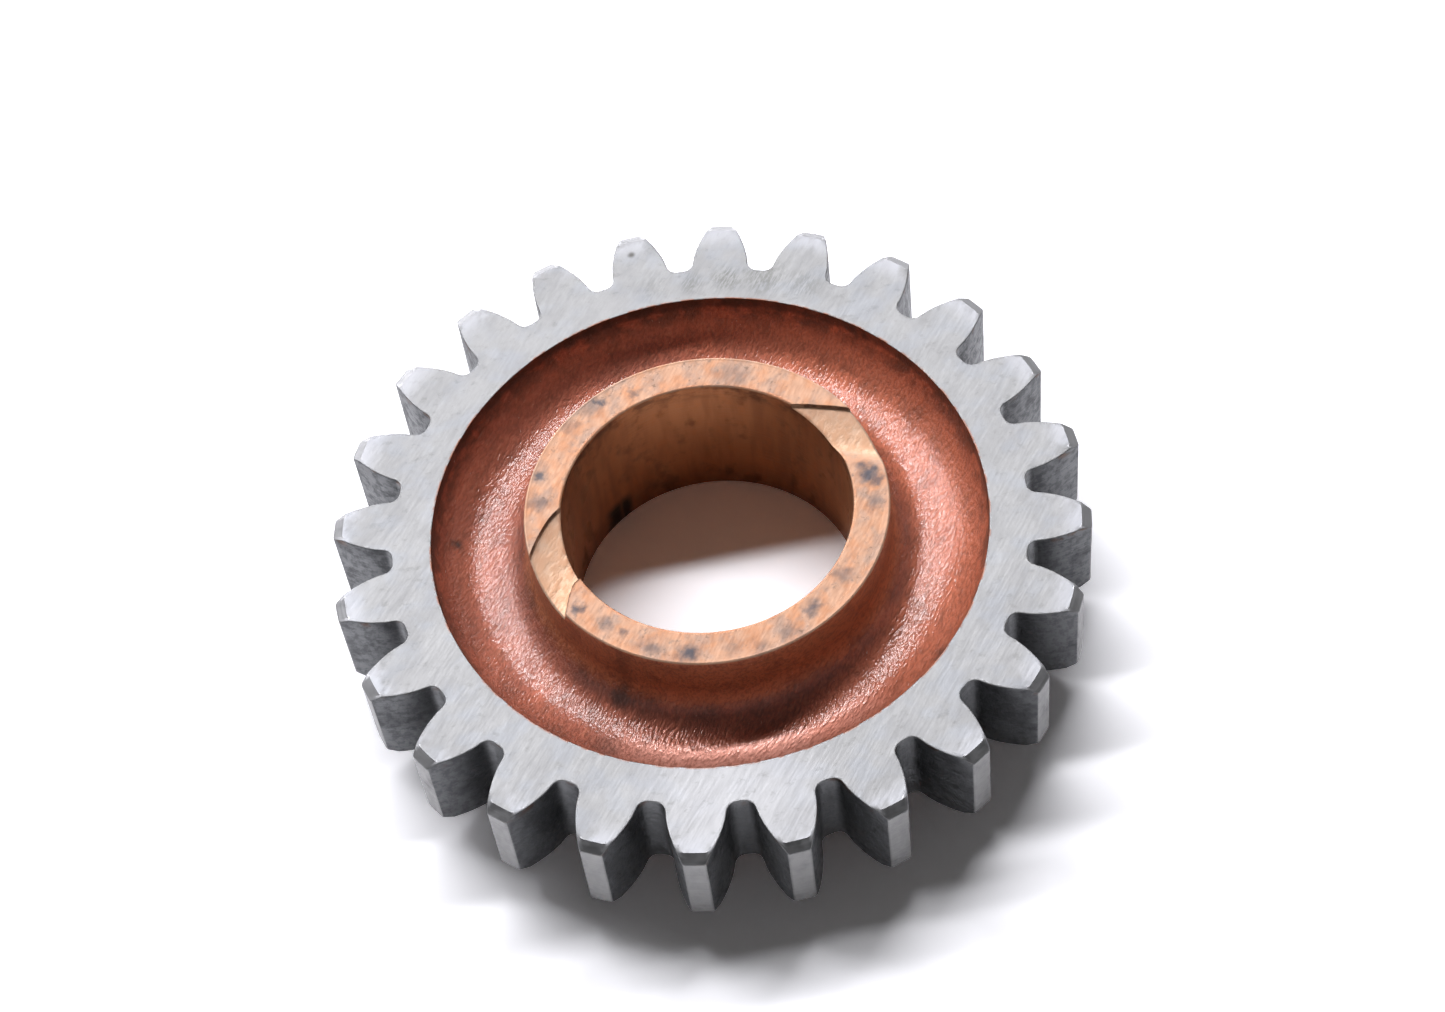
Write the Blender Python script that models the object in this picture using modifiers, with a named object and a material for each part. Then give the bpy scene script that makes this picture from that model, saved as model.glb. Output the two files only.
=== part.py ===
"""Spur pinion gear: bright cut rim and teeth, copper-flashed web and hub.

Metres, +Z up. The gear stands on the back face of its hub, with its axis on
+Z, the origin at the centre of that face and one tooth centred on +X.
"""

import math

import bmesh
import bpy
from mathutils import Matrix

MM = 0.001

# Teeth: involute flanks cut with a shifted rack, tips turned down a little
TEETH = 24
MODULE = 3.0 * MM
PRESSURE_ANGLE = math.radians(20)
PROFILE_SHIFT = 0.29  # in modules, away from the axis
ADDENDUM = 1.0  # in modules
DEDENDUM = 1.25  # in modules
TIP_TOPPING = 0.37 * MM
ROOT_FILLET = 1.1 * MM
TIP_CHAMFER = 1.05 * MM  # along the rim face, inwards from the tip
TIP_CHAMFER_ANGLE = math.radians(30)  # from the rim face

# Rim and web
FACE_WIDTH = 11.2 * MM
RIM_WALL = 4.1 * MM  # from the recess edge to the root circle
RECESS_LIP = 0.4 * MM  # straight wall under the recess edge
WEB_THICKNESS = 3.2 * MM  # where the recesses are deepest
BACK_RECESS = 2.5 * MM  # the front recess takes the rest of the face width
FRONT_FILLET = 3.7 * MM  # at the hub's foot
BACK_FILLET = 2.0 * MM
WEB_FLAT = 1.0 * MM  # flat floor between the hub's fillet and the sweep up to the rim

# Hub
BORE_DIAMETER = 30.3 * MM
HUB_WALL = 3.78 * MM
FRONT_BOSS = 2.9 * MM  # hub height above the front rim face
BACK_BOSS = 3.9 * MM  # hub length below the back rim face
BORE_CHAMFER = 0.22 * MM
HUB_EDGE_BREAK = 0.2 * MM

# Two shallow notches milled aslant across the hub's front face
NOTCH_WIDTH = 6.3 * MM
NOTCH_DEPTH = 1.3 * MM
NOTCH_OVERRUN = 1.0 * MM  # cutter travel past the hub wall at each end
NOTCH_BEARINGS = (math.radians(15.2), math.radians(191.6))
NOTCH_SKEWS = (math.radians(-38), math.radians(42))  # from the radius

# Materials, as linear red, green and blue
STEEL_COLOUR = (0.58, 0.59, 0.62)
STEEL_ROUGHNESS = 0.38
COPPER_COLOUR = (0.45, 0.16, 0.1)
COPPER_ROUGHNESS = 0.42

# Facets of the solid: round the axis, up a flank, and the largest turn between facets of an arc
FACETS_PER_TOOTH = 4
FLANK_POINTS = 6
ROOT_FACET_TURN = math.radians(35)
HUB_FACET_TURN = math.radians(23)
SWEEP_FACET_TURN = math.radians(10)
CUTTER_OVERRUN = 1.0 * MM
SEAM_MERGE = 0.01 * MM
SHARP_EDGE = math.radians(28)

# Sizes that follow
PITCH_RADIUS = MODULE * TEETH / 2
BASE_RADIUS = PITCH_RADIUS * math.cos(PRESSURE_ANGLE)
ROOT_RADIUS = PITCH_RADIUS + MODULE * (PROFILE_SHIFT - DEDENDUM)
TIP_RADIUS = PITCH_RADIUS + MODULE * (PROFILE_SHIFT + ADDENDUM) - TIP_TOPPING
RECESS_RADIUS = ROOT_RADIUS - RIM_WALL
BORE_RADIUS = BORE_DIAMETER / 2
HUB_RADIUS = BORE_RADIUS + HUB_WALL
BACK_FACE = BACK_BOSS
FRONT_FACE = BACK_BOSS + FACE_WIDTH
HUB_TOP = FRONT_FACE + FRONT_BOSS
FRONT_RECESS = FACE_WIDTH - WEB_THICKNESS - BACK_RECESS


def clear_scene():
    for obj in list(bpy.data.objects):
        bpy.data.objects.remove(obj, do_unlink=True)


def new_collection(name):
    made = bpy.data.collections.new(name)
    bpy.context.scene.collection.children.link(made)
    return made


def new_metal(name, colour, roughness):
    material = bpy.data.materials.new(name)
    material.use_nodes = True
    shader = material.node_tree.nodes["Principled BSDF"]
    shader.inputs["Base Color"].default_value = (*colour, 1.0)
    shader.inputs["Metallic"].default_value = 1.0
    shader.inputs["Roughness"].default_value = roughness
    return material


def polar(radius, angle):
    return radius * math.cos(angle), radius * math.sin(angle)


def spaced(start, end, count):
    """count values from start to end, both ends included."""
    return [start + (end - start) * i / (count - 1) for i in range(count)]


def arc(centre, radius, start, end, facet_turn):
    """Points of a circular arc, no facet of which turns by more than facet_turn."""
    points = []
    for angle in spaced(start, end, math.ceil((end - start) / facet_turn) + 1):
        x, y = polar(radius, angle)
        points.append((centre[0] + x, centre[1] + y))
    return points


# Turned blank


def recess_floor(depth, hub_fillet):
    """One recess from hub to rim, as (radius, height over the rim face).

    A fillet at the hub's foot, a narrow flat, then one arc that sweeps up to the lip.
    Where the recess is deeper than the arc's run, the lip grows, so the arc never leans back.
    """
    width = RECESS_RADIUS - HUB_RADIUS
    fillet = min(hub_fillet, width / 2)
    flat = min(WEB_FLAT, (width - fillet) / 2)
    foot_centre = (HUB_RADIUS + fillet, fillet - depth)
    foot = arc(foot_centre, fillet, math.pi, 1.5 * math.pi, HUB_FACET_TURN)
    run = width - fillet - flat
    rise = min(depth - RECESS_LIP, run)
    sweep = (run**2 + rise**2) / (2 * rise)
    sweep_centre = (HUB_RADIUS + fillet + flat, sweep - depth)
    end = math.atan2(rise - sweep, run)
    return foot + arc(sweep_centre, sweep, -math.pi / 2, end, SWEEP_FACET_TURN)


def side_profile(face, outwards, boss, depth, hub_fillet):
    """One side of the blank, bore to tip. outwards is +1 on the front, -1 on the back."""
    points = [
        (BORE_RADIUS, boss - BORE_CHAMFER),
        (BORE_RADIUS + BORE_CHAMFER, boss),
        (HUB_RADIUS - HUB_EDGE_BREAK, boss),
        (HUB_RADIUS, boss - HUB_EDGE_BREAK),
        *recess_floor(depth, hub_fillet),
        (RECESS_RADIUS, 0),
        (TIP_RADIUS - TIP_CHAMFER, 0),
        (TIP_RADIUS, -TIP_CHAMFER * math.tan(TIP_CHAMFER_ANGLE)),
    ]
    return [(radius, face + outwards * height) for radius, height in points]


def turned_blank():
    """The gear before its teeth are cut: a ring of one closed profile, swept round Z."""
    front = side_profile(FRONT_FACE, 1, FRONT_BOSS, FRONT_RECESS, FRONT_FILLET)
    back = side_profile(BACK_FACE, -1, BACK_BOSS, BACK_RECESS, BACK_FILLET)
    loop = front + back[::-1]
    mesh = bpy.data.meshes.new("blank_profile")
    edges = [(i, (i + 1) % len(loop)) for i in range(len(loop))]
    mesh.from_pydata([(radius, 0, height) for radius, height in loop], edges, [])
    blank = bpy.data.objects.new("pinion_gear", mesh)
    screw = blank.modifiers.new("turn", "SCREW")
    screw.axis = "Z"
    screw.angle = 2 * math.pi
    screw.steps = FACETS_PER_TOOTH * TEETH
    screw.render_steps = screw.steps
    screw.use_merge_vertices = True
    screw.merge_threshold = SEAM_MERGE
    return blank


# Toothed outline


def involute(angle):
    return math.tan(angle) - angle


def flank_angle(radius):
    """Half the tooth's angle at a radius: the flank's distance from the tooth's centre line."""
    half_at_pitch = (math.pi / 4 + PROFILE_SHIFT * math.tan(PRESSURE_ANGLE)) * MODULE / PITCH_RADIUS
    if radius <= BASE_RADIUS:
        return half_at_pitch + involute(PRESSURE_ANGLE)
    return half_at_pitch + involute(PRESSURE_ANGLE) - involute(math.acos(BASE_RADIUS / radius))


def root_fillet():
    """The fillet centre's radius and angle from the tooth, and where it meets the flank."""
    centre_radius = ROOT_RADIUS + ROOT_FILLET
    reach = centre_radius**2 - BASE_RADIUS**2
    roll = (math.sqrt(reach) - ROOT_FILLET) / BASE_RADIUS if reach > ROOT_FILLET**2 else 0
    if roll > 0:
        meets = BASE_RADIUS * math.hypot(1, roll)
        lean = math.atan2(BASE_RADIUS * roll + ROOT_FILLET, BASE_RADIUS)
        return centre_radius, flank_angle(0) - roll + lean, meets
    meets = math.sqrt(centre_radius**2 - ROOT_FILLET**2)
    return centre_radius, flank_angle(0) + math.asin(ROOT_FILLET / centre_radius), meets


def half_tooth():
    """(radius, angle) from the middle of the gap, up the fillet and flank to past the tip."""
    centre_radius, centre_angle, meets = root_fillet()
    half_pitch = math.pi / TEETH
    full_gap = centre_angle >= half_pitch
    if full_gap:
        centre_angle = half_pitch
    centre = polar(centre_radius, centre_angle)
    end_x, end_y = polar(meets, flank_angle(meets))
    start = centre_angle - math.pi
    end = math.atan2(end_y - centre[1], end_x - centre[0])
    points = [] if full_gap else [(ROOT_RADIUS, half_pitch)]
    for x, y in arc(centre, ROOT_FILLET, start, end, ROOT_FACET_TURN):
        points.append((math.hypot(x, y), math.atan2(y, x)))
    for radius in spaced(meets, TIP_RADIUS + CUTTER_OVERRUN, FLANK_POINTS)[1:]:
        points.append((radius, flank_angle(radius)))
    return points


def tooth_outline():
    """The toothed outline as (x, y), anticlockwise."""
    half = half_tooth()
    outline = []
    for tooth in range(TEETH):
        centre = 2 * math.pi * tooth / TEETH
        outline += [polar(radius, centre - angle) for radius, angle in half]
        outline += [polar(radius, centre + angle) for radius, angle in half[:0:-1]]
    return outline


def curve_to_mesh(obj):
    """A closed mesh object in place of a filled curve."""
    graph = bpy.context.evaluated_depsgraph_get()
    mesh = bpy.data.meshes.new_from_object(obj.evaluated_get(graph))
    work = bmesh.new()
    work.from_mesh(mesh)
    bmesh.ops.remove_doubles(work, verts=work.verts, dist=SEAM_MERGE)
    work.to_mesh(mesh)
    work.free()
    made = bpy.data.objects.new(obj.name, mesh)
    made.matrix_world = obj.matrix_world
    bpy.data.objects.remove(obj, do_unlink=True)
    return made


def tooth_form(collection):
    """A toothed disc taller than the blank. What it shares with the blank is the gear."""
    curve = bpy.data.curves.new("tooth_form", "CURVE")
    curve.dimensions = "2D"
    curve.fill_mode = "BOTH"
    curve.extrude = HUB_TOP / 2 + CUTTER_OVERRUN
    outline = tooth_outline()
    spline = curve.splines.new("POLY")
    spline.points.add(len(outline) - 1)
    for point, (x, y) in zip(spline.points, outline):
        point.co = (x, y, 0, 1)
    spline.use_cyclic_u = True
    drawn = bpy.data.objects.new("tooth_form_curve", curve)
    drawn.location.z = HUB_TOP / 2
    collection.objects.link(drawn)
    bpy.context.view_layer.update()
    form = curve_to_mesh(drawn)
    form.name = "tooth_form"
    return as_cutter(form, collection)


# Notches


def notch_cutter(index, bearing, skew, collection):
    """A bar lying across the hub wall at its bearing, turned by its skew from the radius."""
    crossing = HUB_WALL / math.cos(skew) + NOTCH_WIDTH * abs(math.tan(skew))
    height = NOTCH_DEPTH + CUTTER_OVERRUN
    work = bmesh.new()
    bmesh.ops.create_cube(work, size=1)
    bmesh.ops.scale(work, vec=(crossing + 2 * NOTCH_OVERRUN, NOTCH_WIDTH, height), verts=work.verts)
    mesh = bpy.data.meshes.new(f"notch_cutter_{index}")
    work.to_mesh(mesh)
    work.free()
    cutter = bpy.data.objects.new(mesh.name, mesh)
    x, y = polar(BORE_RADIUS + HUB_WALL / 2, bearing)
    place = Matrix.Translation((x, y, HUB_TOP - NOTCH_DEPTH + height / 2))
    cutter.matrix_world = place @ Matrix.Rotation(bearing + skew, 4, "Z")
    return as_cutter(cutter, collection)


def as_cutter(obj, collection):
    collection.objects.link(obj)
    obj.hide_render = True
    obj.display_type = "WIRE"
    return obj


def add_boolean(obj, operation, cutter):
    boolean = obj.modifiers.new(cutter.name, "BOOLEAN")
    boolean.operation = operation
    boolean.solver = "EXACT"
    boolean.object = cutter


# Finish


def finish(obj):
    """Bakes the modifiers, then gives the cut rim and the copper-flashed middle their materials."""
    bpy.context.view_layer.update()
    graph = bpy.context.evaluated_depsgraph_get()
    mesh = bpy.data.meshes.new_from_object(obj.evaluated_get(graph))
    mesh.name = obj.name
    obj.modifiers.clear()
    obj.data = mesh
    mesh.materials.clear()
    mesh.materials.append(new_metal("ground_steel", STEEL_COLOUR, STEEL_ROUGHNESS))
    mesh.materials.append(new_metal("copper_flash", COPPER_COLOUR, COPPER_ROUGHNESS))
    for face in mesh.polygons:
        inside = math.hypot(face.center.x, face.center.y) < RECESS_RADIUS
        face.material_index = 1 if inside else 0
    mesh.shade_smooth()
    mesh.set_sharp_from_angle(angle=SHARP_EDGE)


def main():
    clear_scene()
    parts = new_collection("pinion_gear")
    cutters = new_collection("cutters")
    gear = turned_blank()
    parts.objects.link(gear)
    add_boolean(gear, "INTERSECT", tooth_form(cutters))
    for index, (bearing, skew) in enumerate(zip(NOTCH_BEARINGS, NOTCH_SKEWS)):
        add_boolean(gear, "DIFFERENCE", notch_cutter(index, bearing, skew, cutters))
    finish(gear)


main()
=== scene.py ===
import math

import bpy
import numpy as np
from mathutils import Matrix, Vector


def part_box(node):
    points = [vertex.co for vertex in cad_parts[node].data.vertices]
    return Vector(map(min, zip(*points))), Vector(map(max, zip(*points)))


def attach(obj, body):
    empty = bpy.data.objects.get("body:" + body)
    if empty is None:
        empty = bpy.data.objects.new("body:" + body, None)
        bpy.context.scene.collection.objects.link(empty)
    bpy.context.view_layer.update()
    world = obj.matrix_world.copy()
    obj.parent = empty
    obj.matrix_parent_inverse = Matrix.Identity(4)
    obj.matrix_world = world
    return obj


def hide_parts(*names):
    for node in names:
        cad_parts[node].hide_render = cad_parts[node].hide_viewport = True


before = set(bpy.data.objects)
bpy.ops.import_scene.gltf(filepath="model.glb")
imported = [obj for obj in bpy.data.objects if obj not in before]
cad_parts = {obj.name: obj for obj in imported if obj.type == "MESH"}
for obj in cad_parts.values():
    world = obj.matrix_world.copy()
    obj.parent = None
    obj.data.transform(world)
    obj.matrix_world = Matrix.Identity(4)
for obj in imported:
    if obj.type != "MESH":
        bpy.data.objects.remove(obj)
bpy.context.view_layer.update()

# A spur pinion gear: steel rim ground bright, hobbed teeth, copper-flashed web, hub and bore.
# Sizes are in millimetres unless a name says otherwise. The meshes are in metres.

MM = 0.001
cad_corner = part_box("pinion_gear")[1]

# Teeth
TEETH = 24
MODULE = 3.0
PRESSURE_ANGLE = math.radians(20)
PROFILE_SHIFT = 0.29  # in modules
DEDENDUM = 1.25  # in modules
ROOT_FILLET = 1.1
TIP_CHAMFER = 1.05
TIP_CHAMFER_SLOPE = math.tan(math.radians(30))
TIP_CORNER = 0.22
EDGE_ROUND = 0.12

# Rim, web and hub
FACE_WIDTH = 11.2
BACK_BOSS = 3.9
RIM_WALL = 4.1
RECESS_LIP = 0.4
LIP_ROUND = 0.07
FRONT_RECESS = 5.5
BACK_RECESS = 2.5
FRONT_FILLET = 3.7
BACK_FILLET = 2.0
WEB_FLAT = 1.0
BORE_RADIUS = 15.15
HUB_WALL = 3.78
BORE_CHAMFER = 0.22
HUB_ROUND = 0.2
HUB_BURR = 0.04  # the hub's outer edge stands this much over its face

# Sizes that follow
TIP_RADIUS = cad_corner.x / MM
HUB_TOP = cad_corner.z / MM
PITCH_RADIUS = MODULE * TEETH / 2
BASE_RADIUS = PITCH_RADIUS * math.cos(PRESSURE_ANGLE)
ROOT_RADIUS = PITCH_RADIUS + MODULE * (PROFILE_SHIFT - DEDENDUM)
CHAMFER_RADIUS = TIP_RADIUS - TIP_CHAMFER
RECESS_RADIUS = ROOT_RADIUS - RIM_WALL
HUB_RADIUS = BORE_RADIUS + HUB_WALL
HUB_MIDDLE = BORE_RADIUS + HUB_WALL / 2
BACK_FACE = BACK_BOSS
FRONT_FACE = BACK_BOSS + FACE_WIDTH
FRONT_BOSS = HUB_TOP - FRONT_FACE
HALF_PITCH = math.pi / TEETH

# Notches in the hub's front face: each edge as (radius, bearing in degrees) points, the width
# over which its wall falls, and its form: a ramp, a small step with a slope below it, or steep.
NOTCH_DEPTH = 1.3
NOTCH_EDGES = (
    (((15.2, 5.0), (17.1, 1.0), (19.0, -2.3)), 2.8, "ramp"),
    (((15.2, 41.6), (16.9, 32.6), (18.9, 24.6)), 4.8, "stepped"),
    (((15.2, 164.4), (16.2, 168.6), (17.3, 174.5), (18.9, 182.8)), 4.8, "stepped"),
    (((15.1, 199.2), (16.1, 199.9), (16.9, 202.2), (18.1, 205.8), (18.9, 208.2)), 0.3, "steep"),
)
NOTCH_STARTS = (0, 2)  # where each notch's pair of edges starts in the list
NOTCH_LEAN = math.cos(math.radians(42))  # turns a distance round the hub into one across an edge
NOTCH_GATHER = math.radians(5)  # columns this close to an edge are drawn towards it
NOTCH_GATHER_POWER = 1.6
NOTCH_FADE = math.radians(32)  # past an edge, the slant of the columns dies out over this
NOTCH_FADE_MARGIN = 0.3  # radians past that, where bearings start to count from the far side
NOTCH_SQUASH_BASE = FRONT_FACE + 0.4  # the hub below this height keeps its form
STEP_SHARE = 0.35  # of the notch's depth, at the top of a stepped wall
STEP_WIDTH = 0.2
# Painted shade: a dark line along the top of the stepped and steep notch walls.
STEP_SHADE_CENTRE = 0.1  # the painted shade line lies this far inside the edge of a stepped wall
STEP_SHADE_WIDTH = 0.11
STEP_SHADE_DEPTH = 0.5  # painted shade lies only this near to the hub's top
HUB_TOLERANCE = 0.01

# Rows and columns of the mesh
GAP_STEPS = 1
FILLET_STEPS = 5
FLANK_STEPS = 6
CORNER_STEPS = 3
LAND_STEPS = 1
ROUND_STEPS = 4
BORE_EDGE_STEPS = 3
HUB_EDGE_STEPS = 4
LIP_STEPS = 4
FRONT_STEPS = (8, 10, 12)  # across the hub's face, round its foot's fillet, up the web's sweep
BACK_STEPS = (3, 5, 7)
FRONT_WALL_DROPS = (0.8, 1.2, 1.6, 2.1, 2.7, 3.4)  # rows on the hub's side, down from its top
BACK_WALL_DROPS = (1.0, 2.5, 4.2)
BORE_TOP_STRIP = 0.55  # from each end of the hub to the first row down the bore
BORE_HEIGHTS = (4.0, 9.0, 14.0, 15.6, 16.4, 16.9)
RIM_SHARES = (0.4, 0.75)  # rows on the rim face, as shares of the way to the teeth
WALL_SHARES = (0.2, 0.5, 0.8)  # rows down the teeth's walls, as shares of the way down
SEAM = 0.005  # vertices nearer than this are joined, where the sectors meet
SHARP_TURN = math.radians(28)  # an edge that turns more than this stays crisp

# A facet between two rows, whole or cut in two. Its corners go round it from the upper left.
WHOLE = ((0, 1, 2, 3),)
CUT_FALLING = ((0, 1, 3), (1, 2, 3))
CUT_RISING = ((0, 1, 2), (0, 2, 3))

FINISHES = ("ground", "hobbed", "land", "chamfer", "web", "hub_face", "bore")

# Bearings in degrees of the scratches on the rim, and of the fine marks in the copper
GRIND = 49
BRUSHED = 52
STAIN_RAGS = 1.25  # size of the noise that makes a stain's edge ragged


def involute(angle):
    return math.tan(angle) - angle


def flank_angle(radius):
    """Half the tooth's angle at a radius."""
    half_thickness = (math.pi / 4 + PROFILE_SHIFT * math.tan(PRESSURE_ANGLE)) * MODULE
    rolled_back = involute(math.acos(min(1, BASE_RADIUS / radius)))
    return half_thickness / PITCH_RADIUS + involute(PRESSURE_ANGLE) - rolled_back


def polar(radius, angle):
    return np.array([radius * math.cos(angle), radius * math.sin(angle)])


def half_tooth():
    """Outline from the middle of a gap to the middle of the tip, the tooth being on +X."""
    centre_radius = ROOT_RADIUS + ROOT_FILLET
    roll = (math.sqrt(centre_radius**2 - BASE_RADIUS**2) - ROOT_FILLET) / BASE_RADIUS
    meets = BASE_RADIUS * math.hypot(1, roll)
    lean = math.atan2(BASE_RADIUS * roll + ROOT_FILLET, BASE_RADIUS)
    centre_angle = flank_angle(BASE_RADIUS) - roll + lean
    centre = polar(centre_radius, centre_angle)
    foot = polar(meets, flank_angle(meets)) - centre
    end = math.atan2(foot[1], foot[0])
    points = []
    for angle in np.linspace(HALF_PITCH, centre_angle, GAP_STEPS + 1):
        points.append(polar(ROOT_RADIUS, angle))
    for angle in np.linspace(centre_angle - math.pi, end, FILLET_STEPS + 1)[1:]:
        points.append(centre + polar(ROOT_FILLET, angle))
    for radius in np.linspace(meets, CHAMFER_RADIUS, FLANK_STEPS)[1:]:
        points.append(polar(radius, flank_angle(radius)))
    below = polar(TIP_RADIUS - TIP_CORNER, flank_angle(TIP_RADIUS - TIP_CORNER))
    corner = polar(TIP_RADIUS, flank_angle(TIP_RADIUS))
    beside = polar(TIP_RADIUS, flank_angle(TIP_RADIUS) - TIP_CORNER / TIP_RADIUS)
    for share in np.linspace(0, 1, CORNER_STEPS + 1):
        rest = 1 - share
        points.append(rest**2 * below + 2 * share * rest * corner + share**2 * beside)
    beside_angle = math.atan2(beside[1], beside[0])
    for angle in np.linspace(beside_angle, 0, LAND_STEPS + 1)[1:]:
        points.append(polar(TIP_RADIUS, angle))
    return np.array(points)


def tooth_outline():
    """Outline of one pitch, from gap to gap, and its outward normals."""
    half = half_tooth()
    outline = np.vstack([half * [1, -1], half[-2::-1]])
    before = np.vstack([Matrix.Rotation(-2 * HALF_PITCH, 2) @ Vector(outline[-2]), outline[:-1]])
    after = np.vstack([outline[1:], Matrix.Rotation(2 * HALF_PITCH, 2) @ Vector(outline[1])])
    along = after - before
    normals = np.stack([along[:, 1], -along[:, 0]], axis=1)
    return outline, normals / np.linalg.norm(normals, axis=1, keepdims=True)


OUTLINE, NORMALS = tooth_outline()
OUTLINE_RADII = np.hypot(*OUTLINE.T)
COLUMNS = len(OUTLINE)
MIDDLE = COLUMNS // 2
ANGLES = np.linspace(-HALF_PITCH, HALF_PITCH, COLUMNS)
CHAMFER_START = int(np.argmin(np.abs(OUTLINE_RADII[:MIDDLE] - CHAMFER_RADIUS)))
CHAMFER_END = COLUMNS - 1 - CHAMFER_START
CHAMFERED = slice(CHAMFER_START + 1, CHAMFER_END)
LAND_REACH = LAND_STEPS + CORNER_STEPS - 1  # each corner's first strip belongs to the flank
LAND = range(MIDDLE - LAND_REACH, MIDDLE + LAND_REACH)


def chamfer_drop(radii):
    return np.maximum(0, radii - CHAMFER_RADIUS) * TIP_CHAMFER_SLOPE


def turned_row(radius, height):
    heights = np.full(COLUMNS, height)
    return np.column_stack([radius * np.cos(ANGLES), radius * np.sin(ANGLES), heights])


def inset_row(inset):
    """The outline moved in by inset, lying on the rim face or the tip's chamfer."""
    flat = OUTLINE - NORMALS * inset
    return np.column_stack([flat, -chamfer_drop(np.hypot(*flat.T))])


def crease_row(inset):
    """As inset_row, but across the tooth it follows the line where the chamfer starts."""
    row = inset_row(inset)
    edge = inset_row(inset / 2)
    angles = np.arctan2(edge[:, 1], edge[:, 0])
    limit = angles[CHAMFER_END]
    reach = math.asin(-edge[CHAMFER_START, 1] / CHAMFER_RADIUS)
    across = angles[CHAMFERED] / limit * reach
    row[CHAMFERED, 0] = CHAMFER_RADIUS * np.cos(across)
    row[CHAMFERED, 1] = CHAMFER_RADIUS * np.sin(across)
    row[CHAMFERED, 2] = 0
    return row


def edge_rows():
    """The rounded edge between the rim face or the chamfer and the teeth's walls."""
    outwards = np.maximum(0, np.einsum("ij,ij->i", NORMALS, OUTLINE) / OUTLINE_RADII)
    on_chamfer = OUTLINE_RADII > CHAMFER_RADIUS + EDGE_ROUND / 2
    tilt = np.arctan(np.where(on_chamfer, TIP_CHAMFER_SLOPE * outwards, 0))
    reach = EDGE_ROUND * np.tan((math.pi / 2 - tilt) / 2)
    start = -reach - chamfer_drop(OUTLINE_RADII)
    rows = []
    for share in np.linspace(0, 1, ROUND_STEPS + 1):
        lean = tilt + (math.pi / 2 - tilt) * share
        flat = OUTLINE - NORMALS * (EDGE_ROUND * (1 - np.sin(lean)))[:, None]
        rows.append(np.column_stack([flat, start + EDGE_ROUND * np.cos(lean)]))
    return rows


def arc(centre, radius, start, end, steps):
    """Points of an arc in a turned profile, from one angle to another in degrees."""
    angles = np.radians(np.linspace(start, end, steps + 1))
    return [tuple(centre + polar(radius, angle)) for angle in angles]


def side_rows(boss, depth, fillet, wall_drops, steps):
    """Rows of one side from the bore to the teeth's walls, heights over the rim face.

    boss is how far the hub stands up, depth is the recess's, and fillet is the radius at the
    hub's foot. Each row is (points, finish of the strip from this row to the next).
    """
    face_steps, fillet_steps, sweep_steps = steps
    rows = []

    def turn(profile, finish):
        rows.extend((turned_row(radius, height), finish) for radius, height in profile)

    face = boss - HUB_BURR
    turn([(BORE_RADIUS, boss - BORE_TOP_STRIP), (BORE_RADIUS, face - 1.1 * BORE_CHAMFER)], "bore")
    bore_edge = (BORE_RADIUS + BORE_CHAMFER, face - BORE_CHAMFER)
    turn(arc(bore_edge, BORE_CHAMFER, 165, 90, BORE_EDGE_STEPS), "hub_face")
    inner, outer = BORE_RADIUS + 1.6 * BORE_CHAMFER, HUB_RADIUS - 2.2 * HUB_ROUND
    turn([(radius, face) for radius in np.linspace(inner, outer, face_steps)], "hub_face")
    turn([(HUB_RADIUS - 1.5 * HUB_ROUND, face + 0.3 * HUB_BURR)], "hub_face")
    hub_edge = arc((HUB_RADIUS - HUB_ROUND, boss - HUB_ROUND), HUB_ROUND, 95, 0, HUB_EDGE_STEPS)
    turn(hub_edge[:-1], "hub_face")
    turn(hub_edge[-1:], "web")
    turn([(HUB_RADIUS, boss - drop) for drop in wall_drops], "web")
    turn(arc((HUB_RADIUS + fillet, fillet - depth), fillet, 180, 270, fillet_steps), "web")

    run = RECESS_RADIUS - HUB_RADIUS - fillet - WEB_FLAT
    rise = depth - RECESS_LIP
    sweep = (run**2 + rise**2) / (2 * rise)
    end = math.degrees(math.atan2(rise - sweep, run))
    sweep_centre = (HUB_RADIUS + fillet + WEB_FLAT, sweep - depth)
    turn(arc(sweep_centre, sweep, -90, end, sweep_steps), "web")
    turn([(RECESS_RADIUS, -2 * LIP_ROUND)], "web")
    turn(arc((RECESS_RADIUS + LIP_ROUND, -LIP_ROUND), LIP_ROUND, 180, 90, LIP_STEPS), "ground")

    start = turned_row(RECESS_RADIUS + 3 * LIP_ROUND, 0)
    crease = crease_row(4 * EDGE_ROUND)
    rows.append((start, "ground"))
    rows += [(start + (crease - start) * share, "ground") for share in RIM_SHARES]
    rows.append((crease, "ground"))
    rows.append((inset_row(2 * EDGE_ROUND), "ground"))
    for number, row in enumerate(edge_rows()):
        rows.append((row, "ground" if number < ROUND_STEPS // 2 else "hobbed"))
    return rows


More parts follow.
